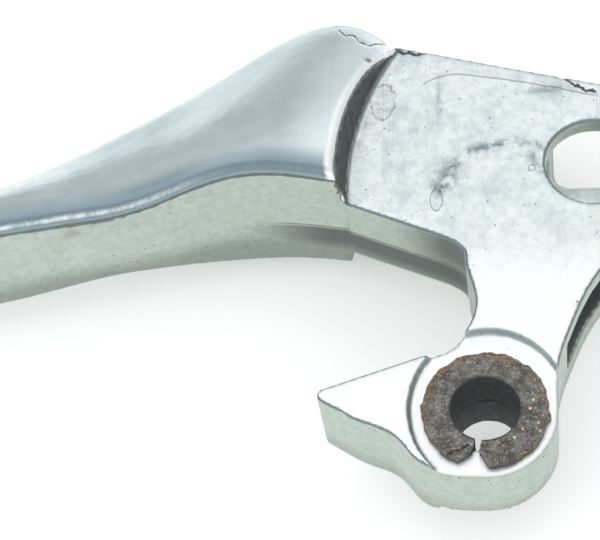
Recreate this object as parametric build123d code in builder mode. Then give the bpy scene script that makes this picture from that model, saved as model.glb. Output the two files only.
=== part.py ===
"""Clutch lever: a cast aluminium lever that swings on two split flanged bushes.

Millimetres.  +Z is the pivot axis, -X runs out along the blade to the ball end, and +Y points
forwards, away from the handlebar.  The origin is on the pivot axis, halfway through the boss.
"""

import os
from math import sqrt

from build123d import *

# ---------------------------------------------------------------- pivot bushes
pivot_bore = 8.0  # for the pivot bolt's shank
bush_wall = 1.0
flange_diameter = 15.0
flange_thickness = 1.0
bush_stack = 11.8  # outer flange face to outer flange face, the two bushes butted together
mouth_round = 0.4  # rolled edge where the bore opens into the flange
seam_gap = 0.9  # open butt seam of the rolled strip
seam_angle = 258.0  # where the seam lies round the axis, in degrees from +X
notch_width = 3.8  # the seam's cut-back corners, across the flange's rim
notch_reach = 1.9  # and from the rim inwards
running_clearance = 0.05  # radial, bush in boss
end_clearance = 0.1  # under each flange

# ---------------------------------------------------------------- boss and finger
boss_margin = 1.0  # boss beyond the flange, all round
relief_margin = 1.8  # the facing that the flanges lie in, beyond the flange, so that it runs off the boss
relief_run = 2.0  # and its extra length, fore and aft
relief_centre = (0.3, 0.1)
finger_tip = (-21.0, 2.4)  # before it is rounded
finger_tip_round = 0.9
finger_root = (-5.0, 7.9)

# ---------------------------------------------------------------- head plate
plate_thickness = 12.0
barrel_hole = 12.0
barrel_centre = (14.0, 33.9)
head_end = 10.0  # barrel centre to the plate's end
far_left = (-11.0, 53.0)  # forward edge of the plate, from the blade's shoulder
far_right = (15.5, 45.6)  # to where the head's rounded end begins
rim_round = 0.4

# ---------------------------------------------------------------- cable fork
top_cheek = 2.6
bottom_cheek = 3.4
fork_floor = 7.2  # barrel centre to the fork's inner end
fork_start = (9.6, 8.0)  # where the fork runs out beside the boss
fork_corner = 3.0
cutaway_left = 4.9  # bottom cheek's open corner, from this far left of the barrel centre
cutaway_near = 1.8  # and this far forwards of it
cutaway_corner = 2.0

# ---------------------------------------------------------------- blade
ball_diameter = 18.0
ball_centre = (-156.0, 28.5)
ball_flat = 3.0  # across the witness of the casting's gate, at the ball's end
shoulder_centre = (24.1, 30.5)  # the curved shoulder where the blade stands up from the plate
shoulder_radius = 41.0
shoulder_draft = 12.0  # degrees
ridge_round = 1.8  # between the grip side's wall and the polished top
wall_lean = 0.6  # how far the wall leans in from the parting line up to the ridge
wall_tuck = 0.5  # how far it tucks in below the parting line, before the underside rounds off
wall_depth = 0.87  # where that rounding starts, as a part of the ridge's height
belly = 1.04  # the underside's depth, as a part of the ridge's height

# Sections along the blade: x, grip side y, forward y, height at the ridge, height near the forward side
blade_sections = (
    (-151.0, 24.5, 32.0, 5.5, 4.0),
    (-135.0, 22.5, 31.0, 7.0, 4.6),
    (-105.0, 21.0, 30.5, 8.0, 5.0),
    (-80.0, 22.0, 31.5, 8.7, 5.0),
    (-62.0, 24.0, 36.3, 9.0, 4.6),
    (-50.0, 26.5, 42.3, 8.0, 4.2),
    (-38.0, 29.0, 49.4, 9.5, 4.8),
    (-26.0, 30.5, 57.2, 11.4, 6.6),
    (-18.0, 29.4, 59.4, 10.8, 7.4),
    (-11.0, 28.2, 54.6, 10.5, 7.0),
    (-4.0, 27.4, 46.0, 10.0, 6.5),
)

# ---------------------------------------------------------------- worked-out sizes
plate_half = plate_thickness / 2
bore_radius = pivot_bore / 2
bush_radius = bore_radius + bush_wall
flange_radius = flange_diameter / 2
boss_radius = flange_radius + boss_margin
relief_width = flange_diameter + 2 * relief_margin
bush_face = bush_stack / 2
flange_seat = bush_face - flange_thickness
boss_face = flange_seat - end_clearance
barrel_x, barrel_y = barrel_centre
ball_x, ball_y = ball_centre
ball_radius = ball_diameter / 2
ball_reach = sqrt(ball_radius**2 - (ball_flat / 2) ** 2)  # ball centre to either flat
head_x = barrel_x + head_end
fork_top = plate_half - top_cheek
fork_bottom = bottom_cheek - plate_half
reach = 60.0  # longer than any cut has to be


# ---------------------------------------------------------------- lever casting
with BuildPart() as blade:
    for x, near, far, ridge, forward in blade_sections:
        width = far - near
        with BuildSketch(Plane.YZ.offset(x)):
            with BuildLine():
                wall_top = (near + wall_lean, ridge - ridge_round)
                ridge_top = (near + wall_lean + ridge_round, ridge)
                Line((near, 0), wall_top)
                RadiusArc(wall_top, ridge_top, ridge_round)
                Spline(
                    ridge_top,
                    (near + 0.8 * width, forward),
                    (far, 0),
                    tangents=[(1, 0), (0, -1)],
                )
                Spline(
                    (far, 0),
                    (near + 0.8 * width, -0.8 * forward),
                    (near + 0.45 * width, -belly * ridge),
                    (near + wall_tuck, -wall_depth * ridge),
                    (near, 0),
                    tangents=[(0, -1), (0, 1)],
                )
            make_face()
    loft()
    with BuildSketch(Plane.XY):
        with BuildLine():
            ball_arc = ThreePointArc(
                (ball_x - ball_reach, ball_y + ball_flat / 2),
                (ball_x, ball_y + ball_radius),
                (ball_x + ball_reach, ball_y + ball_flat / 2),
            )
            Polyline(
                ball_arc @ 1,
                (ball_x + ball_reach, ball_y),
                (ball_x - ball_reach, ball_y),
                ball_arc @ 0,
            )
        make_face()
    revolve(axis=Axis((ball_x, ball_y, 0), (1, 0, 0)))
    for side in (1, -1):
        with BuildSketch(Plane.XY.offset(side * plate_half)):
            with Locations(shoulder_centre):
                Circle(shoulder_radius)
        extrude(amount=side * reach / 4, taper=-shoulder_draft, mode=Mode.SUBTRACT)

with BuildPart() as plate:
    with BuildSketch(Plane.XY.offset(-plate_half)):
        with BuildLine():
            Line(far_left, far_right)
            head = Spline(
                far_right,
                (head_x - 2.2, barrel_y + 7.0),
                (head_x, barrel_y - 1.0),
                (head_x - 2.6, barrel_y - 8.0),
                (14.2, 18.2),
                tangents=[(1.0, -0.28), (-0.6, -0.8)],
            )
            hollow = Spline(
                head @ 1,
                (boss_radius + 1.7, 10.2),
                (boss_radius, 3.0),
                tangents=[(-0.6, -0.8), (0, -1)],
            )
            Line(hollow @ 1, (boss_radius, 0))
            boss_end = CenterArc((0, 0), boss_radius, 0, -90)
            heel = Spline(
                boss_end @ 1,
                (-5.0, -8.0),
                (-8.2, -6.3),
                (-10.6, -3.4),
                (-14.0, -1.7),
                finger_tip,
                tangents=[(-1, 0), (-0.85, 0.5)],
            )
            Line(finger_tip, finger_root)
            throat = Spline(
                finger_root,
                (-2.6, 9.8),
                (-0.9, 14.6),
                (-2.0, 19.7),
                (-5.0, 23.7),
                tangents=[(0.94, 0.33), (-0.9, 0.42)],
            )
            Polyline(throat @ 1, (-16.8, 28.8), (-17.8, 30.2), (-25.0, 37.0), (-25.0, 46.0), far_left)
        outline = make_face()
        fillet(outline.vertices().sort_by_distance((*finger_tip, 0))[:1], finger_tip_round)
    extrude(amount=plate_thickness)
    fillet(plate.faces().filter_by(Axis.Z).edges(), rim_round)
    Hole(bush_radius + running_clearance)
    for side in (1, -1):
        with BuildSketch(Plane.XY.offset(side * boss_face)):
            with Locations(relief_centre):
                Ellipse(relief_width / 2, (relief_width + relief_run) / 2)
        extrude(amount=side * reach, mode=Mode.SUBTRACT)
    with BuildSketch(Plane.XY.offset(fork_bottom)):
        with BuildLine():
            FilletPolyline(
                fork_start,
                (barrel_x - fork_floor, barrel_y - 7.0),
                (barrel_x - fork_floor, barrel_y + reach),
                (barrel_x + reach, barrel_y + reach),
                (barrel_x + reach, fork_start[1]),
                radius=fork_corner,
                close=True,
            )
        make_face()
    extrude(amount=fork_top - fork_bottom, mode=Mode.SUBTRACT)
    with BuildSketch(Plane.XY.offset(fork_top)):
        with Locations(barrel_centre):
            Circle(barrel_hole / 2)
    extrude(amount=reach, mode=Mode.SUBTRACT)
    with BuildSketch(Plane.XY.offset(fork_bottom)):
        with Locations((barrel_x - cutaway_left, barrel_y + cutaway_near)):
            RectangleRounded(
                2 * reach, 2 * reach, cutaway_corner, align=(Align.MIN, Align.MIN)
            )
    extrude(amount=-reach, mode=Mode.SUBTRACT)
    barrel_rim = plate.edges().filter_by(GeomType.CIRCLE).group_by(Axis.Z)[-1]
    barrel_rim = barrel_rim.filter_by(lambda edge: abs(edge.radius - barrel_hole / 2) < 0.01)
    chamfer(barrel_rim, rim_round)

with BuildPart() as lever_casting:
    add(blade.part)
    add(plate.part)


# ---------------------------------------------------------------- bushes
def build_bush(side):
    """A rolled flanged bush with its seam open; side is +1 above the middle and -1 below it."""
    with BuildPart() as bush:
        with BuildSketch(Plane.XZ):
            with BuildLine():
                Polyline(
                    (bore_radius, 0),
                    (bush_radius, 0),
                    (bush_radius, side * flange_seat),
                    (flange_radius, side * flange_seat),
                    (flange_radius, side * bush_face),
                    (bore_radius + mouth_round, side * bush_face),
                )
                RadiusArc(
                    (bore_radius + mouth_round, side * bush_face),
                    (bore_radius, side * (bush_face - mouth_round)),
                    side * mouth_round,
                )
                Line((bore_radius, side * (bush_face - mouth_round)), (bore_radius, 0))
            make_face()
        revolve(axis=Axis.Z)
        with BuildSketch(Plane.XY.rotated((0, 0, seam_angle))):
            with BuildLine():
                Polyline(
                    (0, -seam_gap / 2),
                    (flange_radius - notch_reach, -seam_gap / 2),
                    (flange_radius, -notch_width / 2),
                    (flange_radius + 1, -notch_width / 2),
                    (flange_radius + 1, notch_width / 2),
                    (flange_radius, notch_width / 2),
                    (flange_radius - notch_reach, seam_gap / 2),
                    (0, seam_gap / 2),
                    close=True,
                )
            make_face()
        extrude(amount=reach, both=True, mode=Mode.SUBTRACT)
    return bush.part


upper_bush = build_bush(1)
lower_bush = build_bush(-1)

# ---------------------------------------------------------------- files
pieces = {
    "lever_casting": lever_casting.part,
    "upper_bush": upper_bush,
    "lower_bush": lower_bush,
}
os.makedirs("parts", exist_ok=True)
for name, piece in pieces.items():
    piece.label = name
    export_step(piece, f"parts/{name}.step")
    print(name, "volume", round(piece.volume), "solids", len(piece.solids()))
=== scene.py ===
# %% [markdown]
# # A worn clutch lever
# The lever is one aluminium casting that swings on two split, flanged bushes. This lesson takes
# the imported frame, gives the casting the surface that years of use gave it, makes the two bushes
# again with their torn rims, and lights them softly on a pale floor.

# %% Load the frame
from math import cos, pi, radians, sin, tan
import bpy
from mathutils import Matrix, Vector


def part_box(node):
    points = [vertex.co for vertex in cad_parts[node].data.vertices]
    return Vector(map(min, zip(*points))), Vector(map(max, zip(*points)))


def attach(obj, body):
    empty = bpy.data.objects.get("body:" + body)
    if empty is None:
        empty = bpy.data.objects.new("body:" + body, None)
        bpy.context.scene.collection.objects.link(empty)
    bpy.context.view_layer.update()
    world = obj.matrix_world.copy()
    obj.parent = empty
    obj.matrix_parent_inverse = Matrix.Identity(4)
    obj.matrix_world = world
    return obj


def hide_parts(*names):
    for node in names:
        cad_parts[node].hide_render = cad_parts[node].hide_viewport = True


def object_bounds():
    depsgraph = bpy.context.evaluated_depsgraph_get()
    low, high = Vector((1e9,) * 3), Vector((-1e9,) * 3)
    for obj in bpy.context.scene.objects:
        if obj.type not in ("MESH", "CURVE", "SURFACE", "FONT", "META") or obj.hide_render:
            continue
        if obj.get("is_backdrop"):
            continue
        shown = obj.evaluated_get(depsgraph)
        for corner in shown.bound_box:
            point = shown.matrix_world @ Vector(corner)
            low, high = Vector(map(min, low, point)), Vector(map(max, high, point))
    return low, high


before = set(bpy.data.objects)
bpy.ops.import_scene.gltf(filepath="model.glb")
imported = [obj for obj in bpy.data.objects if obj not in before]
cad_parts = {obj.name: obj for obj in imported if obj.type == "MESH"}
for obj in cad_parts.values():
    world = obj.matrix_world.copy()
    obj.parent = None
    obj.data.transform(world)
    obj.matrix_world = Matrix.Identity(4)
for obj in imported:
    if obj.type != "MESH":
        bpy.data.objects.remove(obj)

from types import SimpleNamespace

import bmesh
import bpy
import numpy as np
from mathutils import Matrix, Vector

frame_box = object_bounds()
print("frame", [round(1000 * side, 1) for side in frame_box[1] - frame_box[0]], "mm")

# %% [markdown]
# ## Sizes
# All shapes below are worked out in millimetres and turned into metres only when a mesh is made.
# The bushes' outer sizes are measured from the frame. The few other sizes that the wear and the
# finishes have to follow are named here once.

# %% Sizes read from the frame, and the casting's own
MM = 0.001
_, bush_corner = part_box("upper_bush")
FLANGE_RADIUS = round(float(bush_corner[0] / MM), 2)
BUSH_FACE = round(float(bush_corner[2] / MM), 2)
FLANGE_SEAT = 4.9  # the level of the flange's underside
BORE_RADIUS = 4.0
BUSH_WALL = 1.0
MOUTH_ROUND = 0.4  # the rolled edge where the bore opens into the flange
PLATE_TOP = 6.0
FORK_TOP = 3.4
FORK_BOTTOM = -2.6
FORK_FLOOR_X = 6.8
SHOULDER_CENTRE = np.array([24.1, 30.5])
SHOULDER_RADIUS = 41.0
SHOULDER_DRAFT = tan(radians(12.0))
FACING_CENTRE = (0.3, 0.1)
FACING_HALF = (9.3, 10.3)
# How far along the blade, and how far forward its grip side is there
GRIP_SIDE = (
    (-151, -135, -105, -80, -62, -50, -38, -26, -18, -11),
    (24.5, 22.5, 21.0, 22.0, 24.0, 26.5, 29.0, 30.5, 29.4, 28.2),
)
print("flange radius", FLANGE_RADIUS, "face at", BUSH_FACE)

# %% [markdown]
# ## Noise and marks
# Wear is never even. Everything uneven here comes from one smooth noise: random values on the
# corners of a grid of cubes, blended between them. The values come from whole-number arithmetic,
# so each run gives the same lever. Scratches, cracks and dents are distances to short lines.

# %% Noise
AXIS_PRIMES = (73856093, 19349663, 83492791)
SEED_STEP = 2654435
LOW_BITS = 0xFFFFFFFF
MIXING = ((15, 2246822519), (13, 3266489917))


def corner_values(corners, seed):
    """A random value from -1 to 1 for each corner, given as three whole numbers.

    The numbers and the seed are each multiplied by a large constant and combined by exclusive
    or. Shifting, combining and multiplying again, twice, spreads every bit over the result.
    """
    h = np.bitwise_xor.reduce(corners * AXIS_PRIMES, axis=1) ^ (seed * SEED_STEP)
    h = (h & LOW_BITS).astype(np.uint64)
    for shift, multiplier in MIXING:
        h = ((h ^ (h >> np.uint64(shift))) * np.uint64(multiplier)) & np.uint64(LOW_BITS)
    return (h ^ (h >> np.uint64(16))).astype(float) / 2**31 - 1


def lattice_noise(points, cell, seed):
    """Smooth noise from -1 to 1.

    Each corner i of a grid of cubes `cell` wide has a random value h(i). Inside a cube, at
    the fractions t, the value is the sum of h(i) times the product of w or 1 - w along the
    three axes, with w = 3t^2 - 2t^3.
    """
    q = points / cell
    base = np.floor(q).astype(np.int64)
    t = q - base
    w = t * t * (3 - 2 * t)
    total = np.zeros(len(points))
    for corner in np.ndindex(2, 2, 2):
        weight = np.prod(np.where(corner, w, 1 - w), axis=1)
        total += corner_values(base + np.array(corner), seed) * weight
    return total


def rough_noise(points, cell, seed, octaves=3):
    """Layers of lattice_noise added up, each half as wide and half as strong as the last."""
    layers = [lattice_noise(points, cell / 2**k, seed + k) / 2**k for k in range(octaves)]
    return sum(layers)


# %% Steps, bells and distances
def step_up(x, low, high):
    """0 below low, 1 above high, and 3t^2 - 2t^3 between them."""
    t = np.clip((x - low) / (high - low), 0, 1)
    return t * t * (3 - 2 * t)


def bump_at(distance, width):
    """A bell shape, exp(-(distance / width)^2)."""
    return np.exp(-((distance / width) ** 2))


def distance_to_line(points, corners):
    """The least distance from each point to the straight runs between the corners."""
    best = np.full(len(points), 1e9)
    corners = np.array(corners, float)
    for a, b in zip(corners[:-1], corners[1:]):
        run = b - a
        t = np.clip((points - a) @ run / (run @ run), 0, 1)
        best = np.minimum(best, np.linalg.norm(points - a - t[:, None] * run, axis=1))
    return best


def ellipse_distance(points, centre, half):
    """Seen from above, 1 on the ellipse, 0 at its centre, growing outwards."""
    return np.hypot((points[:, 0] - centre[0]) / half[0], (points[:, 1] - centre[1]) / half[1])


# %% [markdown]
# ## The casting's mesh
# The frame's casting is right in shape, but it is made of long thin triangles that can't carry
# fine wear. A copy is welded, remeshed into even squares a little under half a millimetre wide,
# smoothed, and laid back on to the true surface. That keeps every face flat and every edge in
# place, and gives numpy ninety-five thousand points to work with. A single grid of two
# parameters can't cover a forked plate that grows out of a blade, so this piece starts from
# the frame.

# %% Helpers for objects and meshes
def add_object(name, data):
    """An object for a mesh, a lamp or a camera, linked to the scene."""
    thing = bpy.data.objects.new(name, data)
    bpy.context.scene.collection.objects.link(thing)
    return thing


def add_modifier(piece, kind, **settings):
    modifier = piece.modifiers.new(kind.title(), kind)
    for key, value in settings.items():
        setattr(modifier, key, value)
    return modifier


def shade_smooth(mesh):
    mesh.polygons.foreach_set("use_smooth", np.ones(len(mesh.polygons), bool))


def read_vectors(mesh, field):
    """The field's three numbers at each point of the mesh, in rows."""
    flat = np.empty(3 * len(mesh.vertices), np.float32)
    mesh.vertices.foreach_get(field, flat)
    return flat.reshape(-1, 3).astype(float)


def store(mesh, name, values):
    """Keeps one number per point on the mesh, for a material's Attribute node to read."""
    attribute = mesh.attributes.new(name, "FLOAT", "POINT")
    attribute.data.foreach_set("value", np.asarray(values, np.float32).ravel())


# %% Even mesh on the true surface
VOXEL = 0.425
SMOOTHING_ROUNDS = (8, 4, 2)


def welded_copy(node, name):
    """An object with a copy of the node's mesh whose doubled corners are merged."""
    mesh = node.data.copy()
    mesh.materials.clear()
    bm = bmesh.new()
    bm.from_mesh(mesh)
    bmesh.ops.remove_doubles(bm, verts=bm.verts, dist=1e-7)
    bm.to_mesh(mesh)
    bm.free()
    return add_object(name, mesh)


def evened(node, voxel):
    """The node's shape as even squares: remeshed, then smoothed and laid back three times."""
    target = welded_copy(node, "casting_target")
    work = welded_copy(node, "casting_work")
    add_modifier(work, "REMESH", mode="VOXEL", voxel_size=voxel * MM)
    for iterations in SMOOTHING_ROUNDS:
        add_modifier(work, "SMOOTH", factor=0.5, iterations=iterations)
        add_modifier(work, "SHRINKWRAP", target=target, wrap_method="NEAREST_SURFACEPOINT")
    graph = bpy.context.evaluated_depsgraph_get()
    mesh = bpy.data.meshes.new_from_object(work.evaluated_get(graph))
    for piece in (work, target):
        bpy.data.objects.remove(piece)
    return mesh


casting_mesh = evened(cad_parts["lever_casting"], VOXEL)
points = read_vectors(casting_mesh, "co") / MM
normals = read_vectors(casting_mesh, "normal")
print("casting", len(points), "points", len(casting_mesh.polygons), "faces")

# %% [markdown]
# ## Where each finish lies
# The blade's top was polished, its grip side was left as it came from the mould, the plate was
# tumbled bright, and the curved step between them never saw a wheel. A mask stored as 0 and 1
# would have a jagged border, as wide as a face of the mesh. So the mesh keeps distances instead:
# how far a point is outside the step's cone, how high it is, how far it faces up. Those are
# smooth, and the material cuts each of them off at a value, which gives a sharp, even border.

# %% Fields over the surface
x, y, z = points.T
nx, ny, nz = normals.T
from_shoulder = np.linalg.norm(points[:, :2] - SHOULDER_CENTRE, axis=1)
cone = SHOULDER_RADIUS + SHOULDER_DRAFT * np.maximum(np.abs(z) - PLATE_TOP, 0)
outside = from_shoulder - cone
left = step_up(-x, 8.0, 9.0) * step_up(y, 18.0, 20.0)
blade = step_up(outside, -0.25, 0.05) * left
on_top = step_up(nz, 0.3, 0.6) * step_up(z, 6.2, 6.6) * blade
flat_top = step_up(nz, 0.9, 0.97) * (1 - blade)
wall = step_up(1 - np.abs(nz), 0.5, 0.8)
grip_side = step_up(-ny, 0.2, 0.5)
from_grip = y - np.interp(x, *GRIP_SIDE)
print("blade", int(blade.sum()), "flat top", int(flat_top.sum()))

# %% The fork's inside, and the throat
ON_CHEEK = 0.08  # a point this near a cheek's level lies on it
# These masks mark the fork's inside, which the material darkens as painted shade
under_top_cheek = (np.abs(z - FORK_TOP) < ON_CHEEK) * (nz < -0.5)
over_bottom_cheek = (np.abs(z - FORK_BOTTOM) < ON_CHEEK) * (nz > 0.5)
between_cheeks = (z < FORK_TOP) * (z > FORK_BOTTOM)
slot_end = between_cheeks * (np.abs(x - FORK_FLOOR_X) < 0.15) * (nx > 0.5) * (y > 10)
inside_fork = (under_top_cheek + over_bottom_cheek) * (1 - step_up(y, 24.0, 28.0)) + slot_end
# The throat mask marks where the material paints shade into the concave throat
throat = wall * grip_side * bump_at(x + 3.5, 5.0)
throat = throat * step_up(y, 10.0, 14.0) * (1 - step_up(y, 26.0, 30.0))
print("inside the fork", int((inside_fork > 0).sum()), "throat", int(throat.sum()))

# %% [markdown]
# ## Wear in the surface
# The marks are cut into the mesh itself, along its normals. The step's upper edge is rounded
# over, the mould's parting line stands proud along the grip side, the plate carries a faint
# raised witness line and a flaked patch, and the far edge is cracked where the metal ran cold.

# %% Where the marks are, in millimetres on the casting
PARTING_LEVEL = -0.5
WITNESS_TOP = (-3.1, 48.3)
FLAKED_PATCH = ((-12.4, 44.1), (1.5, 2.7))
TEAR_DROP = ((-5.6, 28.9), (0.75, 1.6))
SQUARE_MARK = (6.3, 33.2)
SQUARE_HALF = 0.45
# Centre and width
PLATE_PITS = (
    ((-1.7, 36.8), 0.32),
    ((-0.4, 36.3), 0.25),
    ((6.7, 27.9), 0.3),
    ((-1.2, 19.3), 0.3),
    ((3.4, 38.4), 0.2),
)
EDGE_CRACKS = (
    (
        (-18.9, 57.6), (-18.3, 56.1), (-17.3, 54.4), (-16.6, 54.8), (-15.8, 54.2),
        (-15.5, 53.1), (-14.9, 52.9), (-14.1, 52.5), (-13.3, 53.4), (-12.3, 54.1),
    ),
    ((-11.2, 53.0), (-10.3, 52.0), (-9.5, 51.7), (-9.0, 51.9), (-8.2, 51.4), (-7.0, 51.7)),
    ((10.2, 47.2), (11.0, 46.5), (12.0, 45.5), (12.7, 45.3), (13.3, 44.5), (13.9, 44.7), (14.9, 44.4)),
)
# Centre, width and depth
EDGE_DENTS = (
    ((-16.9, -0.2, 5.9), 0.55, 0.35),
    ((-13.4, -2.2, 6.0), 0.5, 0.25),
    ((6.7, -5.2, 3.2), 0.5, 0.2),
    ((11.2, 13.9, 6.0), 0.5, 0.3),
    ((12.4, 15.6, 6.0), 0.4, 0.2),
    ((14.0, 23.4, 6.0), 0.45, 0.15),
    ((-17.6, 29.9, 6.4), 0.4, 0.3),
    ((2.9, 8.3, 4.8), 0.3, 0.05),
    ((-14.2, 49.3, 8.4), 0.9, 0.25),
    ((-19.9, 31.0, 9.9), 0.35, 0.12),
    ((-60.4, 26.4, 8.0), 0.6, 0.12),
    ((-98.0, 22.4, 7.2), 0.6, 0.15),
)

# %% How high or deep the marks are
WAVES = 0.030
FINE_WAVES = 0.012
PARTING_HEIGHT = 0.10
WITNESS_HEIGHT = 0.05
PATCH_FLAKES = 0.12
PATCH_DEPTH = 0.05
PATCH_LIP = 0.03
TEAR_LIP = 0.05
TEAR_DEPTH = 0.08
SQUARE_HEIGHT = 0.04
PIT_DEPTH = 0.10
CRACK_DEPTH = 0.16
BROKEN_DEPTH = 0.14
CHEWED_DEPTH = 0.06
NO_CRACK = 9.0  # the distance given to points that no crack runs past


def witness_place(x):
    """How far forward the plate's raised line is: two parabolas from its top, a slow one that
    falls away to the right and a steep one that curls down to the left."""
    run = x - WITNESS_TOP[0]
    right = WITNESS_TOP[1] - 0.16 * run - 0.005 * run**2
    left = WITNESS_TOP[1] - 0.086 * run**2
    return np.where(run > 0, right, left)


# %% Waves, the parting line and the witness line
wander = rough_noise(points, 7.0, 3)
fine = rough_noise(points, 1.6, 11)
near_flange = bump_at(np.linalg.norm(points[:, :2], axis=1), 9.5)
height = (WAVES * wander + FINE_WAVES * fine) * (1 - 0.8 * near_flange)
height *= 1 - 0.55 * on_top

parting = z - PARTING_LEVEL - 0.18 * lattice_noise(points * [1, 1, 0], 5.0, 21)
parting_reach = step_up(x, -34.0, -19.0) * (1 - step_up(x, 0.5, 2.0))
parting_reach = parting_reach * grip_side * step_up(y, 12.0, 15.0) * wall
height += PARTING_HEIGHT * bump_at(parting, 0.25) * parting_reach

witness = y - witness_place(x) + 0.10 * fine
witness_reach = flat_top * step_up(x, -8.3, -6.5) * (1 - step_up(x, 13.0, 16.0))
height += WITNESS_HEIGHT * bump_at(witness, 0.3) * witness_reach
print("height", height.min().round(3), "to", height.max().round(3), "mm")

# %% The flaked patch, the tear drop and the square mark
patch_shift = 0.30 * rough_noise(points, 1.2, 31)[:, None]
patch_ring = ellipse_distance(points + patch_shift, *FLAKED_PATCH)
patch = (1 - step_up(patch_ring, 0.75, 1.0)) * flat_top
flakes = patch * (PATCH_FLAKES * rough_noise(points, 0.9, 41) - PATCH_DEPTH)
height += flakes + PATCH_LIP * bump_at(patch_ring - 1.0, 0.12) * flat_top

tear_ring = ellipse_distance(points, *TEAR_DROP)
tear_lip = TEAR_LIP * bump_at(tear_ring - 1.15, 0.2)
tear_hollow = TEAR_DEPTH * (1 - step_up(tear_ring, 0.8, 1.1))
height += (tear_lip - tear_hollow) * flat_top

square_ring = np.maximum(np.abs(x - SQUARE_MARK[0]), np.abs(y - SQUARE_MARK[1]))
height += SQUARE_HEIGHT * bump_at(square_ring - SQUARE_HALF, 0.16) * flat_top

# %% Pits, cracks, dents and the chewed edge
pits = np.zeros(len(points))
for (pit_x, pit_y), width in PLATE_PITS:
    pits = np.maximum(pits, bump_at(np.hypot(x - pit_x, y - pit_y), width) * (z > 4))
height -= PIT_DEPTH * pits

crack = np.full(len(points), NO_CRACK)
for corners in EDGE_CRACKS:
    run, line = np.array(corners).T
    here = (x > run[0]) & (x < run[-1]) & (z > 4.0)
    crack = np.where(here, y - np.interp(x, run, line), crack)
broken = step_up(crack, 0.0, 0.25) * (crack < NO_CRACK - 1) * (x < -11.5)
height -= CRACK_DEPTH * bump_at(crack, 0.30) + BROKEN_DEPTH * broken

dents = np.zeros(len(points))
for centre, width, depth in EDGE_DENTS:
    dent = bump_at(np.linalg.norm(points - centre, axis=1), width)
    dents = np.maximum(dents, dent)
    height -= depth * dent

chewed = np.maximum(rough_noise(points, 1.3, 61), 0) * bump_at(outside - 0.1, 0.6) * blade * (z > 6.5)
height -= CHEWED_DEPTH * chewed
print("height", height.min().round(3), "to", height.max().round(3), "mm")

# %% [markdown]
# The step's upper edge is not sharp: polishing has rolled it over, more than a millimetre wide.
# The points of the blade's top near the step are let down towards it, by a parabola that comes
# to nothing at the rolled edge's width.

# %% Move the points
ROLLED_EDGE = 1.4
ROLLED_DROP = 0.42
short_of_edge = np.clip(1 - outside / ROLLED_EDGE, 0, 1)
rolled = short_of_edge**2 * on_top
moved = points + height[:, None] * normals
moved[:, 2] -= ROLLED_DROP * rolled
low, high = (np.array(corner) / MM for corner in frame_box)
moved = np.clip(moved, low, high)
casting_mesh.vertices.foreach_set("co", (moved * MM).astype(np.float32).ravel())
casting_mesh.update()
print("rolled points", int((rolled > 0).sum()))

# %% [markdown]
# ## Stains and fields
# A stain lies in an arc across the plate, with a few spots and a streak near it, and more lies
# along the step's foot. It is worked out here, and then kept on the mesh with all the fields
# that the material cuts off at a value. Distances are in millimetres.

# %% Stains
STAIN_ARC = (
    (-5.4, 30.3), (-4.2, 32.6), (-2.0, 35.4), (1.2, 36.5),
    (4.3, 37.2), (6.4, 36.6), (7.4, 34.2), (7.9, 32.0),
)
# Strength, centre and half sizes
STAIN_SPOTS = (
    (0.6, (-4.4, 32.3), (1.6, 2.4)),
    (0.8, (8.3, 45.0), (2.2, 0.5)),
)
STREAK_X = -5.3
arc_shift = 0.5 * rough_noise(points, 2.0, 71)[:, None]
arc_distance = distance_to_line(points[:, :2] + arc_shift, STAIN_ARC)
stain = bump_at(arc_distance, 0.9) * step_up(rough_noise(points, 1.1, 81), -0.5, 0.5)
for strength, centre, half in STAIN_SPOTS:
    stain += strength * bump_at(ellipse_distance(points, centre, half), 1.0)
streak = bump_at(x - STREAK_X + 0.1 * fine, 0.35)
stain += 0.5 * streak * step_up(y, 39.0, 42.0) * (1 - step_up(y, 46.0, 48.5))
stain += 0.25 * bump_at(outside + 0.9, 0.8) * step_up(rough_noise(points, 1.4, 91), -0.3, 0.6)
print("stained points", int((stain * flat_top > 0.3).sum()))

# %% Keep the fields
fields = {
    "outside": outside,
    "level": z,
    "up": nz,
    "left": left,
    "along": x,
    "from_grip": from_grip,
    "parting": parting,
    "parting_reach": parting_reach,
    "witness": witness,
    "witness_reach": witness_reach,
    "patch_ring": patch_ring,
    "tear_ring": tear_ring,
    "square_ring": square_ring,
    "crack": crack,
    "spots": np.maximum(0.7 * pits, 0.6 * dents),
    "stain": np.clip(stain * flat_top, 0, 1),
    "near": 1 - step_up(y, 15.0, 27.0),
    "facing": ellipse_distance(points, FACING_CENTRE, FACING_HALF),
    "inside_fork": np.clip(inside_fork, 0, 1),
    "throat": throat,
}
for name, values in fields.items():
    store(casting_mesh, name, values)
    print(name, float(np.min(values).round(2)), "to", float(np.max(values).round(2)))

# %% Make it a piece
casting_mesh.name = "lever_casting_worn"
shade_smooth(casting_mesh)
casting = add_object("lever_casting_worn", casting_mesh)
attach(casting, "lever")
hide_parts("lever_casting")
print(casting.name, "is a piece")

# %% [markdown]
# ## The bushes
# Each bush is a strip of steel rolled into a sleeve, with its end turned out into a flange.
# The strip's two ends meet at a seam that opens into a V at the rim. The surface is a profile
# carried round the axis from one side of the seam to the other: a grid of angle by place along
# the profile, closed by a strip of faces across each end.

# %% Profile of a bush
SLEEVE_STEPS = 22  # places along the sleeve
FLANGE_STEPS = 34  # and along the flange
RIM_IN = 0.12  # the flange's worn corner: in from its edge
RIM_DOWN = 0.15  # and down from its face


def evenly_along(corners, count):
    """count places, evenly spaced along straight runs between the corners."""
    corners = np.array(corners, float)
    reach = np.concatenate([[0], np.cumsum(np.linalg.norm(np.diff(corners, axis=0), axis=1))])
    s = np.linspace(0, reach[-1], count)
    return np.stack([np.interp(s, reach, corners[:, k]) for k in range(2)], axis=1)


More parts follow.
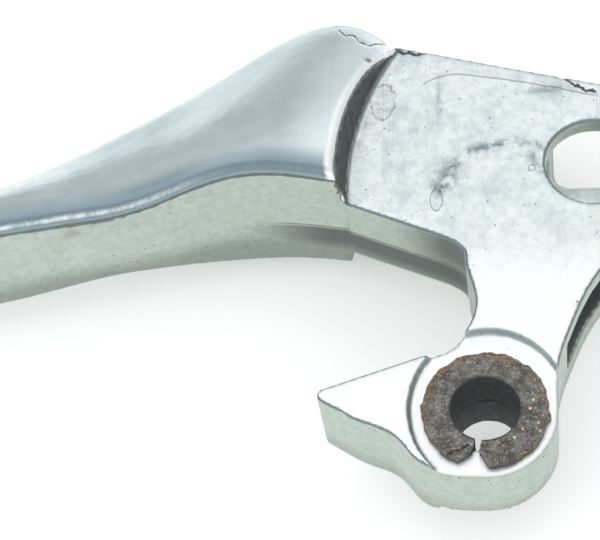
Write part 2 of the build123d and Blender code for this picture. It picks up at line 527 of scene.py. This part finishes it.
def bush_profile():
    """Radius and height along the bore side and then the flange's face, and along the outer side.

    The mouth is a quarter circle: at the turn a, radius and height are short of its corner by
    the rounding times cos a and 1 - sin a.
    """
    turn = np.linspace(0, pi / 2, 6)
    roll_radius = BORE_RADIUS + MOUTH_ROUND * (1 - np.cos(turn))
    roll_level = BUSH_FACE - MOUTH_ROUND * (1 - np.sin(turn))
    roll = np.stack([roll_radius, roll_level], axis=1)
    bore_side = evenly_along([(BORE_RADIUS, 0), (BORE_RADIUS, BUSH_FACE - MOUTH_ROUND)], SLEEVE_STEPS)
    corner = [(FLANGE_RADIUS - RIM_IN, BUSH_FACE), (FLANGE_RADIUS, BUSH_FACE - RIM_DOWN)]
    face = evenly_along([roll[-1], *corner], FLANGE_STEPS)
    sleeve_radius = BORE_RADIUS + BUSH_WALL
    sleeve_side = evenly_along([(sleeve_radius, 0), (sleeve_radius, FLANGE_SEAT)], SLEEVE_STEPS)
    turned = np.repeat(sleeve_side[-1:], 4, axis=0) + np.linspace(0, 0.2, 4)[:, None] * [1, 0]
    under = evenly_along([turned[-1] + [0.1, 0], (FLANGE_RADIUS, FLANGE_SEAT)], FLANGE_STEPS)
    inner = np.concatenate([bore_side, roll[1:-1], face])
    outer = np.concatenate([sleeve_side, turned, under])
    return inner, outer


print("profile", [len(side) for side in bush_profile()], "places")

# %% The grid of a bush
SEAM_ANGLE = radians(258.0)
SEAM_GAP = 0.9
NOTCH_WIDTH = 3.8
NOTCH_REACH = 1.9
AROUND = 340  # places round the axis


def seam_half_width(radius, seed):
    """Half the seam's opening: even near the bore, growing in a straight line to the rim's notch."""
    flare = np.clip((radius - FLANGE_RADIUS + NOTCH_REACH) / NOTCH_REACH, 0, 1)
    ragged = 0.16 * rough_noise(np.stack([radius, 0 * radius, 0 * radius], axis=1), 0.9, seed)
    return SEAM_GAP / 2 + ragged * (0.4 + flare) + flare * (NOTCH_WIDTH - SEAM_GAP) / 2


def bush_grid(seed):
    """Angle, radius and level at each place of the grid.

    Each lip of the seam is at the angle whose sine is the seam's half width over the radius.
    The rows of the grid are spaced evenly from one lip to the other.
    """
    inner, outer = bush_profile()
    radius, level = np.concatenate([inner, outer[::-1]]).T
    start = np.arcsin(np.clip(seam_half_width(radius, seed) / radius, -1, 1))
    stop = 2 * pi - np.arcsin(np.clip(seam_half_width(radius, seed + 5) / radius, -1, 1))
    fraction = np.linspace(0, 1, AROUND)[:, None]
    angle = SEAM_ANGLE + start + fraction * (stop - start)
    radius = np.broadcast_to(radius, angle.shape).copy()
    level = np.broadcast_to(level, angle.shape).copy()
    return angle, radius, level


def to_places(angle, radius, level):
    """Rows of x = r cos a, y = r sin a and z = level."""
    places = [radius * np.cos(angle), radius * np.sin(angle), level]
    return np.stack(places, axis=-1).reshape(-1, 3)


def grid_faces(around, across):
    """Squares between rows, with the last place of a row next to its first, and end strips.

    Half of a row runs along the inner side and half along the outer one, so a strip from each
    inner place to the outer place across the wall closes an end.
    """
    index = np.arange(around * across).reshape(around, across)
    following = np.roll(index, -1, axis=1)
    skin = np.stack([index[:-1], index[1:], following[1:], following[:-1]], axis=-1).reshape(-1, 4)
    half = across // 2
    a, b = index[:, :half], index[:, half:][:, ::-1]
    strips = [
        np.stack([a[end, :-1], a[end, 1:], b[end, 1:], b[end, :-1]], axis=-1)[:, ::turn]
        for end, turn in ((0, -1), (-1, 1))
    ]
    return np.concatenate([skin, *strips])


# %% [markdown]
# The rim of the flange is torn: it is ragged all round, and a few burrs stand out from it. Its
# face is worn down unevenly and most at the rim, and the upper one has a crack. These move the
# grid's radius and level before it becomes a mesh.

# %% Wear of a bush
# Degrees round the rim, how far out in millimetres, and how wide in degrees
BURRS = (
    (176, 0.26, 2.2),
    (186, 0.18, 1.6),
    (196, 0.12, 3.0),
    (-9, 0.30, 3.4),
    (28, 0.10, 4.0),
    (71, 0.12, 2.5),
    (-36, 0.1, 3.0),
    (135, 0.1, 3.0),
)
FACE_CRACK = ((-4.6, -6.0), (-3.6, -5.4), (-3.1, -5.4), (-2.0, -4.7))
FACE_CRACK_DEPTH = 0.22
RUST_TOWARDS = radians(115)
SEED_APART = 20  # sets the two bushes apart in the noise


def wear_bush(angle, radius, level, side, seed):
    """Wears the grid's radius and level in place, and gives the masks that the material reads."""
    where = to_places(angle, radius, level + SEED_APART * seed)
    coarse = rough_noise(where, 1.3, seed + 20).reshape(angle.shape)
    fine = rough_noise(where, 0.42, seed + 30).reshape(angle.shape)
    ragged = rough_noise(where * [1, 1, 0.15], 0.75, seed + 40).reshape(angle.shape)
    at_rim = step_up(radius, BORE_RADIUS + 0.7, FLANGE_RADIUS) ** 4
    face = step_up(level, FLANGE_SEAT + 0.3, BUSH_FACE - 0.1)
    face = face * step_up(radius, BORE_RADIUS, BORE_RADIUS + 0.5)
    radius += at_rim * (0.13 * ragged - 0.10)
    for burr_angle, out, width in BURRS if side > 0 else BURRS[::2]:
        off = (np.degrees(angle) - burr_angle + 180) % 360 - 180
        radius += at_rim * out * bump_at(off, width)
    level -= face * (0.05 + 0.045 * coarse + 0.03 * fine + 0.14 * at_rim * (0.6 + 0.6 * coarse))
    crack_distance = distance_to_line(where[:, :2] + 0.08 * fine.reshape(-1, 1), FACE_CRACK)
    crack = bump_at(crack_distance, 0.09).reshape(angle.shape) * face * (side > 0)
    level -= FACE_CRACK_DEPTH * crack
    bore_side = bump_at(radius - BORE_RADIUS, 0.35) * (level < BUSH_FACE - 0.2)
    radius += bore_side * 0.02 * (coarse + fine)
    np.clip(level, 0, BUSH_FACE, out=level)
    rusted = 0.3 + 0.7 * step_up(np.cos(angle - RUST_TOWARDS), -0.1, 0.8)
    return {"rim": at_rim * (0.75 + 0.5 * coarse) * rusted, "face": face, "crack": crack}


# %% Brass crumbs
SPECKS = (
    (4.9, -1.9), (4.3, -2.9), (3.3, -3.9), (6.7, -1.2), (6.1, -2.1),
    (5.2, -0.2), (6.7, 0.9), (6.3, -3.1), (5.6, 0.9),
)


def speck_mask(places, side):
    """A bell at each crumb on the upper face, 0.10 to 0.20 mm wide in turn."""
    specks = np.zeros(len(places))
    for k, spot in enumerate(SPECKS if side > 0 else ()):
        size = 0.10 + 0.05 * ((k * 7) % 3)
        specks = np.maximum(specks, bump_at(np.linalg.norm(places[:, :2] - spot, axis=1), size))
    return specks


# %% Make the bushes
def close_up(mesh):
    """Merges doubled points, points the faces outwards, and measures what came out."""
    bm = bmesh.new()
    bm.from_mesh(mesh)
    bmesh.ops.remove_doubles(bm, verts=bm.verts, dist=1e-8)
    bmesh.ops.recalc_face_normals(bm, faces=bm.faces)
    open_edges = sum(not edge.is_manifold for edge in bm.edges)
    volume = bm.calc_volume(signed=True) / MM**3
    bm.to_mesh(mesh)
    bm.free()
    print(mesh.name, "faces", len(mesh.polygons), "open edges", open_edges, "volume", round(volume), "mm3")


def make_bush(name, side, seed):
    """A worn bush. At angle a and profile place (r, h) the surface is (r cos a, r sin a, side h)."""
    angle, radius, level = bush_grid(seed)
    masks = wear_bush(angle, radius, level, side, seed)
    places = to_places(angle, radius, side * level)
    masks["specks"] = speck_mask(places, side)
    faces = grid_faces(*angle.shape)
    if side > 0:
        faces = faces[:, ::-1]
    mesh = bpy.data.meshes.new(name)
    mesh.from_pydata((places * MM).tolist(), [], faces.tolist())
    for field, values in masks.items():
        store(mesh, field, values)
    close_up(mesh)
    shade_smooth(mesh)
    piece = add_object(name, mesh)
    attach(piece, "pivot_bushes")
    return piece


upper_bush = make_bush("upper_bush_worn", 1, 1)
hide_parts("upper_bush")
lower_bush = make_bush("lower_bush_worn", -1, 2)
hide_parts("lower_bush")

# %% [markdown]
# ## Writing shader maths
# A material is a sum of masks. One small class wraps a socket, so that masks can be added and
# multiplied as Python expressions, and each operator adds a Math node. One method makes any
# other node.

# %% Sockets as numbers
class Wire:
    """A socket that carries a number. Arithmetic on it adds Math nodes to its material."""

    def __init__(self, finish, socket):
        self.finish = finish
        self.socket = socket

    def math(self, operation, first, second=0.0, clamp=False):
        settings = {"operation": operation, "use_clamp": clamp}
        return self.finish.node("ShaderNodeMath", settings, {0: first, 1: second}).out()

    def __add__(self, other):
        return self.math("ADD", self, other)

    def __sub__(self, other):
        return self.math("SUBTRACT", self, other)

    def __rsub__(self, other):
        return self.math("SUBTRACT", other, self)

    def __mul__(self, other):
        return self.math("MULTIPLY", self, other)

    def at_least(self, other):
        return self.math("MAXIMUM", self, other)

    def clamped(self):
        return self.math("ADD", self, 0.0, clamp=True)

    __radd__ = __add__
    __rmul__ = __mul__


class Node:
    """A node whose outputs are taken by name or number as Wires."""

    def __init__(self, finish, node):
        self.finish = finish
        self.node = node

    def out(self, socket=0):
        return Wire(self.finish, self.node.outputs[socket])


# %% A material under construction
class Finish:
    """A material. Its methods add nodes and give back Wires."""

    def __init__(self, name):
        self.material = bpy.data.materials.new(name)
        self.material.use_nodes = True
        self.tree = self.material.node_tree
        self.tree.nodes.clear()

    def node(self, kind, settings=None, values=None):
        """Adds a node, sets it up, and then gives its sockets numbers, colours or links."""
        node = self.tree.nodes.new(kind)
        for key, value in (settings or {}).items():
            setattr(node, key, value)
        for key, value in (values or {}).items():
            socket = node.inputs[key]
            if isinstance(value, Wire):
                self.tree.links.new(value.socket, socket)
            else:
                socket.default_value = value
        return Node(self, node)

    def place(self, scale=(1, 1, 1), turn=(0, 0, 0)):
        """Object coordinates in millimetres, turned and then stretched."""
        here = self.node("ShaderNodeTexCoord").out("Object")
        turned = self.node("ShaderNodeMapping", None, {"Vector": here, "Rotation": turn})
        sizes = [s / MM for s in scale]
        return self.node("ShaderNodeMapping", None, {"Vector": turned.out(), "Scale": sizes}).out()

    def mask(self, name):
        """A field that the mesh keeps."""
        return self.node("ShaderNodeAttribute", {"attribute_name": name}).out("Fac")

    def noise(self, per_mm, detail=3.0, rough=0.55, scale=(1, 1, 1), turn=(0, 0, 0)):
        """Noise from about 0 to 1 with per_mm waves a millimetre."""
        values = {"Vector": self.place(scale, turn), "Scale": per_mm, "Detail": detail, "Roughness": rough}
        return self.node("ShaderNodeTexNoise", None, values).out("Fac")

    def cells(self, per_mm):
        """The distance to the nearest of scattered points, per_mm of them a millimetre."""
        values = {"Vector": self.place(), "Scale": per_mm}
        return self.node("ShaderNodeTexVoronoi", {"feature": "F1"}, values).out("Distance")

    def between(self, value, low, high):
        """0 where the value is at low, 1 where it is at high, and 3t^2 - 2t^3 between them."""
        values = {"Value": value, "From Min": low, "From Max": high}
        settings = {"interpolation_type": "SMOOTHSTEP", "clamp": True}
        return self.node("ShaderNodeMapRange", settings, values).out()

    def band(self, value, low_start, low_full, high_full, high_end):
        """1 from low_full to high_full, and 0 below low_start and above high_end."""
        return self.between(value, low_start, low_full) * self.between(value, high_end, high_full)

    def blend(self, mask, first, second):
        """The colour first where the mask is 0 and second where it is 1."""
        settings = {"data_type": "RGBA", "blend_type": "MIX", "clamp_factor": True}
        values = {0: mask, 6: self.colour(first), 7: self.colour(second)}
        return self.node("ShaderNodeMix", settings, values).out(2)

    def colour(self, value):
        return value if isinstance(value, Wire) else (*value, 1)

    def bump(self, height, depth_mm, strength):
        values = {"Height": height, "Distance": depth_mm * MM, "Strength": strength}
        return self.node("ShaderNodeBump", None, values).out()

    def surface(self, **inputs):
        """Ends the material in one shader. An input's name has _ where its socket has a space."""
        values = {name.replace("_", " "): value for name, value in inputs.items()}
        shader = self.node("ShaderNodeBsdfPrincipled", None, values)
        self.node("ShaderNodeOutputMaterial", None, {"Surface": shader.out()})
        print(self.material.name, len(self.tree.nodes), "nodes")
        return self.material


# %% [markdown]
# ## Cast aluminium
# Bare aluminium takes its look from how rough it is. The blade's top is polished and a little
# blue, with fine scratches that cross it in two directions. The plate is bright and mottled.
# The grip side is dull and pitted, and the step's wall is dark with old dirt and painted shade.
# Each of these is a function below. They share a few noises, and the regions cut from the mesh's
# fields.

# %% Noises and regions of the casting
def casting_noises(f):
    """Noises that several functions use, and the scratches, which cross in two directions."""
    scratches = f.noise(7.0, 2, 0.5, scale=(0.05, 1, 0.4), turn=(0, 0, radians(-38)))
    crossing = f.noise(5.0, 2, 0.5, scale=(0.04, 1, 0.4), turn=(0, 0, radians(17)))
    return SimpleNamespace(
        cloud=f.noise(0.16, 4, 0.6),
        mottle=f.noise(0.9, 5, 0.65),
        grain=f.noise(5.0, 4, 0.6),
        wisp=f.noise(0.7, 6, 0.7, scale=(1, 0.55, 1)),
        jag=f.noise(1.7, 4, 0.7) - 0.5,
        scratches=scratches,
        deep=f.between(scratches, 0.66, 0.74).at_least(f.between(crossing, 0.67, 0.74)),
    )


def casting_regions(f):
    """The fields that several functions read, and the region of each way of finishing."""
    names = ("outside", "level", "up", "left", "facing", "near", "parting", "parting_reach")
    at = SimpleNamespace(**{name: f.mask(name) for name in names})
    at.blade = f.between(at.outside, -0.10, -0.03) * at.left
    at.step_wall = at.blade * f.between(at.outside, 0.24, 0.12) * f.between(at.level, 6.02, 6.12)
    at.polish = at.blade * f.between(at.up, 0.20, 0.25) * f.between(at.level, -0.3, 0.5)
    at.polish = at.polish * (1 - at.step_wall)
    at.under_polish = at.blade * f.between(at.up, -0.3, -0.5) * f.between(at.level, -0.5, -2.0)
    at.plate = f.between(at.up, 0.70, 0.85) * (1 - at.blade)
    at.walls = (1 - at.plate) * (1 - at.polish) * (1 - at.step_wall)
    return at


# %% Colours of the walls and the plate
def wall_colour(f, noises, at):
    """Dull and greenish and streaked, with painted shade below the parting line and in the throat."""
    colour = f.blend(f.between(noises.mottle, 0.3, 0.75), (0.48, 0.545, 0.49), (0.59, 0.65, 0.60))
    streak = f.noise(1.6, 4, 0.6, scale=(0.12, 0.12, 1.6))
    colour = f.blend(f.between(streak, 0.50, 0.78) * 0.25, colour, (0.30, 0.345, 0.33))
    # Painted shade: the walls darken below the parting line, more with depth, where they turn under
    deep_wall = f.between(at.parting, -0.5, -5.0) * (at.blade * 0.2 + 0.27)
    fading = f.between(at.parting, -8.0, -2.5).at_least(0.5)
    below = f.between(at.parting, 0.06, -0.8) * at.parting_reach * fading * 0.88
    colour = f.blend(deep_wall.at_least(below), colour, (0.115, 0.135, 0.133))
    # Painted shade in the throat, darkest towards its top
    in_throat = f.mask("throat") * f.between(at.level, -5.0, 2.5).at_least(0.3) * 0.85
    return f.blend(in_throat, colour, (0.12, 0.138, 0.133))


def plate_colour(f, noises, at, stain):
    """Bright, with a near-white painted highlight over its near half, grey clouds over its far half and
    the stain.
    """
    colour = f.blend(f.between(noises.mottle, 0.35, 0.75), (0.86, 0.91, 0.91), (0.68, 0.75, 0.755))
    clouded = f.between(noises.cloud, 0.45, 0.62) * f.between(noises.wisp, 0.35, 0.65) * 0.7
    colour = f.blend(clouded, colour, (0.55, 0.63, 0.64))
    # Painted highlight: the near part of the plate is painted nearly white
    colour = f.blend(at.near, colour, (0.985, 0.99, 0.985))
    stained = stain * f.between(noises.mottle, 0.3, 0.55) * 0.9
    return f.blend(stained.clamped(), colour, (0.20, 0.26, 0.28))


def rim_line(f, at):
    """A dark line of painted shade round the plate's rounded rim, except where the facing runs off it."""
    line = f.between(at.level, 5.97, 5.90) * f.between(at.level, 5.52, 5.70)
    return line * (1 - at.blade) * f.between(at.facing, 1.01, 1.04)


def facing_ring(f, at):
    """A grey ring of painted shade along the step at the edge of the facing that the flange lies in."""
    return f.band(at.facing, 0.975, 0.993, 1.007, 1.025) * f.between(at.level, 4.5, 4.8)


# %% Colours of the blade and the step
def blade_colour(f, noises, at):
    """Bluish, with painted light: a pale painted highlight towards the step, painted shade along
    the ridge, a painted highlight streak further out and a white painted highlight at the step's edge.
    """
    colour = f.blend(f.between(noises.cloud, 0.3, 0.7), (0.49, 0.59, 0.60), (0.57, 0.66, 0.665))
    # Painted highlight: paler towards the step, where the blade's top catches the light
    colour = f.blend(f.between(at.outside, 8.0, 1.0) * 0.8, colour, (0.80, 0.88, 0.88))
    # Painted shade: a dark band along the ridge, where the crown rolls away
    along_ridge = f.between(f.mask("from_grip"), 5.0, 1.6) * 0.9
    colour = f.blend(along_ridge, colour, (0.22, 0.30, 0.34))
    shine = f.band(at.up, 0.45, 0.58, 0.72, 0.88) * f.between(f.mask("along"), -30.0, -42.0)
    shine = shine * f.between(noises.wisp, 0.3, 0.6)
    colour = f.blend(shine * 0.6, colour, (0.84, 0.88, 0.88))
    # Painted highlight: a white band along the step's rolled upper edge
    white_band = f.between(at.outside + noises.jag * 0.7, 1.5, 0.9) * f.between(at.outside, 0.15, 0.35)
    return f.blend(white_band, colour, (0.93, 0.95, 0.95))


def step_colour(f, noises, at):
    """Dark and mottled from old dirt and painted shade, with painted shade darkest at the foot
    and a paler painted highlight at the upper edge.
    """
    colour = f.blend(f.between(noises.mottle, 0.3, 0.7), (0.13, 0.145, 0.14), (0.30, 0.32, 0.315))
    # Painted shade: darkest at the foot of the step
    colour = f.blend(f.between(at.level, 7.6, 6.1) * 0.6, colour, (0.075, 0.082, 0.082))
    # Painted highlight: paler towards the step's upper edge
    return f.blend(f.between(at.outside, -0.02, 0.25) * 0.6, colour, (0.30, 0.33, 0.33))


# %% Pitting, marks, dirt and painted shade
def pitting(f, at):
    """Cast-in specks, gathered in clouds, that the polishing and the near plate's painted highlight have
    lost.
    """
    specks = f.between(f.cells(0.75), 0.12, 0.04) * f.between(f.noise(0.35, 2), 0.38, 0.52)
    small_specks = f.between(f.cells(1.7), 0.16, 0.05) * f.between(f.noise(0.5, 2), 0.36, 0.52)
    pitted = (specks * 0.8).at_least(small_specks * 0.6)
    return pitted * (1 - at.polish * 0.9) * (1 - at.near * at.plate * 0.9)


def plate_marks(f, noises, at):
    """Dirt in the tear drop, the square mark, the flaked patch and beside the witness line."""
    tear_line = f.band(f.mask("tear_ring"), 0.88, 0.98, 1.04, 1.16)
    square_line = f.band(f.mask("square_ring"), 0.30, 0.38, 0.48, 0.56)
    ring = f.mask("patch_ring") + noises.jag * 0.5
    patch_line = f.band(ring, 0.92, 0.99, 1.03, 1.09)
    patch = f.between(ring, 1.0, 0.9) * f.between(noises.grain, 0.48, 0.62)
    witness_line = f.band(f.mask("witness"), -0.40, -0.26, -0.18, -0.04) * f.mask("witness_reach")
    marks = tear_line * 0.5 * f.between(noises.wisp, 0.35, 0.5) + square_line * 0.35
    marks = marks + patch_line * 0.45 * f.between(noises.wisp, 0.40, 0.5)
    return (marks + patch * 0.3 + witness_line * 0.5) * at.plate


def dirt_and_shade_mask(f, noises, at, pitted):
    """Everything that holds black dirt, and the painted shade at the ridge, the step's foot and
    inside the fork, the strongest at each place.
    """
    # Dirt and painted shade in the corner along the step's foot
    foot = f.band(at.outside, -0.65, -0.08, 0.05, 0.2) * f.between(at.level, 6.3, 6.08)
    foot = foot * f.between(at.level, 5.6, 5.9) * at.left
    # Painted shade: a dark line where the blade's top rolls over into the grip side at the ridge
    ridge_line = at.blade * f.between(at.up, 0.09, 0.12) * f.between(at.up, 0.30, 0.20)
    ridge_line = ridge_line * f.between(at.level, 3.0, 5.0)
    mould_line = f.band(at.parting, -0.15, -0.06, 0.02, 0.10) * at.parting_reach
    mould_line = mould_line * f.between(noises.mottle, 0.3, 0.5)
    crack = f.mask("crack") + noises.jag * 1.2
    cracks = f.band(crack, -0.36, -0.14, 0.14, 0.36)
    spots = f.between(f.mask("spots") + noises.jag * 0.4, 0.34, 0.55) * 0.75
    dirt_and_shade = (foot * 0.85).at_least(ridge_line * 0.7).at_least(mould_line * 0.85)
    dirt_and_shade = dirt_and_shade.at_least(cracks * 0.95).at_least(plate_marks(f, noises, at)).at_least(spots)
    # Painted shade: the fork's inside is painted almost black
    dirt_and_shade = dirt_and_shade.at_least(pitted).at_least(f.mask("inside_fork") * 0.93)
    return dirt_and_shade.clamped()


# %% The casting's finish
def cast_aluminium():
    """The colours laid over one another, then roughness, metal and a fine bump to match."""
    f = Finish("cast_aluminium")
    noises = casting_noises(f)
    at = casting_regions(f)
    stain = f.mask("stain")
    pitted = pitting(f, at)
    dirt_and_shade = dirt_and_shade_mask(f, noises, at, pitted)

    colour = f.blend(at.plate, wall_colour(f, noises, at), plate_colour(f, noises, at, stain))
    colour = f.blend(rim_line(f, at) * 0.8, colour, (0.17, 0.23, 0.26))
    colour = f.blend(at.polish, colour, blade_colour(f, noises, at))
    colour = f.blend(at.step_wall, colour, step_colour(f, noises, at))
    colour = f.blend(facing_ring(f, at) * (1 - at.blade) * 0.8, colour, (0.50, 0.60, 0.605))
    # Black dirt and painted shade, laid over all the colours
    colour = f.blend(dirt_and_shade, colour, (0.035, 0.042, 0.043))

    wall_rough = 0.48 + noises.mottle * 0.16
    plate_rough = 0.30 + noises.mottle * 0.16 + stain * 0.12
    polish_rough = 0.17 + noises.scratches * 0.12 + noises.cloud * 0.06 + noises.deep * 0.12
    rough = at.walls * wall_rough + at.plate * plate_rough
    rough = rough + at.polish * polish_rough + at.step_wall * 0.6
    rough = (rough + dirt_and_shade * 0.25).clamped()
    metal = (1 - dirt_and_shade * 0.8) * (1 - at.step_wall * 0.3)

    cast_height = noises.mottle * 0.5 + noises.grain * 0.3 - pitted * 0.9
    gloss = at.polish.at_least(at.under_polish)
    height = cast_height * (1 - gloss * 0.92) + noises.scratches * at.polish * 0.16
    height = height - noises.deep * at.polish * 0.22
    normal = f.bump(height, 0.05, 0.5)
    return f.surface(Base_Color=colour, Metallic=metal, Roughness=rough, Normal=normal)


casting.data.materials.clear()
casting.data.materials.append(cast_aluminium())

# %% [markdown]
# ## Bush metal
# The flange is worn steel, grey and brown in patches, rusted where its rim tore, with a few
# bright crumbs of brass pressed into it. Its bore is almost black with old grease.

# %% The bushes' finish
def bush_metal():
    f = Finish("bush_metal")
    rim, face, crack, brass = f.mask("rim"), f.mask("face"), f.mask("crack"), f.mask("specks")
    patches = f.noise(0.8, 5, 0.65)
    grain = f.noise(3.2, 5, 0.7)
    pocks = f.between(f.cells(2.2), 0.28, 0.08)
    worn = f.blend(f.between(patches, 0.35, 0.66), (0.115, 0.108, 0.097), (0.26, 0.252, 0.236))
    worn = f.blend(f.between(grain, 0.54, 0.74), worn, (0.60, 0.59, 0.58))
    worn = f.blend(f.between(grain, 0.42, 0.28), worn, (0.06, 0.052, 0.048))
    rust = f.blend(f.between(grain, 0.35, 0.65), (0.15, 0.08, 0.045), (0.42, 0.26, 0.14))
    rusted = rim * 1.1 * f.between(patches, 0.25, 0.55)
    colour = f.blend(rusted.clamped(), worn, rust)
    bore_colour = f.blend(f.between(grain, 0.4, 0.7), (0.06, 0.068, 0.069), (0.11, 0.118, 0.12))
    colour = f.blend(face, bore_colour, colour)
    colour = f.blend(crack.at_least(pocks * face * 0.35), colour, (0.015, 0.013, 0.012))
    colour = f.blend(f.between(brass, 0.3, 0.6), colour, (0.85, 0.66, 0.36))
    rough = 0.62 - f.between(grain, 0.5, 0.75) * 0.2 + rim * 0.15
    metal = (0.55 + face * 0.15) * (1 - rim * 0.6)
    normal = f.bump(grain * 0.6 + patches * 0.5 - pocks * 0.35, 0.10, 0.7)
    return f.surface(Base_Color=colour, Metallic=metal.clamped(), Roughness=rough.clamped(), Normal=normal)


steel = bush_metal()
for piece in (upper_bush, lower_bush):
    piece.data.materials.clear()
    piece.data.materials.append(steel)

# %% [markdown]
# ## Floor, light and camera
# The lever lies on a plain pale floor, in an even, pale surround like a light tent's. The blade
# shows that surround. A large soft lamp stands high up on the forward side, where the plate
# mirrors it, and with the near-white painted highlight on the plate's near part it makes the
# plate the whitest part. The floor gives off a little light of its own, so that the walls,
# which mirror it, don't turn black.

# %% Floor
FLOOR_HALF = 6.0
FLOOR_GAP = 0.0002
FLOOR_GLOW = 0.32
floor_z = frame_box[0][2] - FLOOR_GAP
floor_mesh = bpy.data.meshes.new("floor")
corners = [(-1, -1), (1, -1), (1, 1), (-1, 1)]
floor_mesh.from_pydata([(FLOOR_HALF * a, FLOOR_HALF * b, floor_z) for a, b in corners], [], [(0, 1, 2, 3)])
floor = add_object("floor", floor_mesh)
paper = Finish("pale_paper")
fibre = paper.noise(0.02, 2)
paper_colour = paper.blend(fibre, (0.90, 0.90, 0.90), (0.93, 0.93, 0.93))
glow = {"Emission_Color": paper_colour, "Emission_Strength": FLOOR_GLOW}
floor_mesh.materials.append(paper.surface(Base_Color=paper_colour, Roughness=0.9, **glow))
floor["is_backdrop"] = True

# %% Lights
WORLD_COLOUR = (0.97, 0.99, 1.0, 1)
WORLD_STRENGTH = 0.80
LEVER_MIDDLE = Vector((-0.020, 0.020, 0.0))
world = bpy.data.worlds.new("studio")
world.use_nodes = True
background = world.node_tree.nodes["Background"]
background.inputs["Color"].default_value = WORLD_COLOUR
background.inputs["Strength"].default_value = WORLD_STRENGTH
bpy.context.scene.world = world


def soft_light(name, direction, distance, size, power):
    """A rectangular lamp that stands off from the lever in a direction and faces it.

    Distance and size are in metres and power is in watts.
    """
    lamp = bpy.data.lights.new(name, "AREA")
    lamp.shape = "RECTANGLE"
    lamp.size, lamp.size_y = size
    lamp.energy = power
    stand = add_object(name, lamp)
    away = Vector(direction).normalized()
    stand.location = LEVER_MIDDLE + distance * away
    stand.rotation_mode = "QUATERNION"
    stand.rotation_quaternion = away.to_track_quat("Z", "Y")
    print(name, power, "W")


soft_light("overhead", (-0.05, 0.30, 0.95), 1.1, (1.5, 1.0), 1.4)
soft_light("left_side", (-0.9, -0.25, 0.55), 1.0, (0.6, 0.6), 1.6)
soft_light("front", (0.3, -0.9, 0.5), 1.1, (0.8, 0.5), 1.0)

# %% Camera
LOOK_AT = Vector((-22.3, 19.4, PLATE_TOP)) * MM
DISTANCE = 245.0 * MM
TILT = radians(31.7)
HEADING = radians(12.8)
LENS = 120.0
SENSOR = 36.0
lens = bpy.data.cameras.new("camera")
lens.lens = LENS
lens.sensor_width = SENSOR
camera = add_object("camera", lens)
lean = Vector((sin(HEADING), -cos(HEADING), 0))
turned = Matrix.Rotation(TILT, 4, Vector((0, 0, 1)).cross(lean))
back = turned @ Vector((0, 0, 1))
camera.matrix_world = Matrix.Translation(LOOK_AT + DISTANCE * back) @ turned
bpy.context.scene.camera = camera
bpy.context.scene.view_settings.view_transform = "Standard"
print("camera at", [round(1000 * value) for value in camera.matrix_world.translation], "mm")

model_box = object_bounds()
boxes = {"frame": frame_box, "model": model_box}
for name, box in boxes.items():
    print(name, [[round(1000 * value, 2) for value in corner] for corner in box])
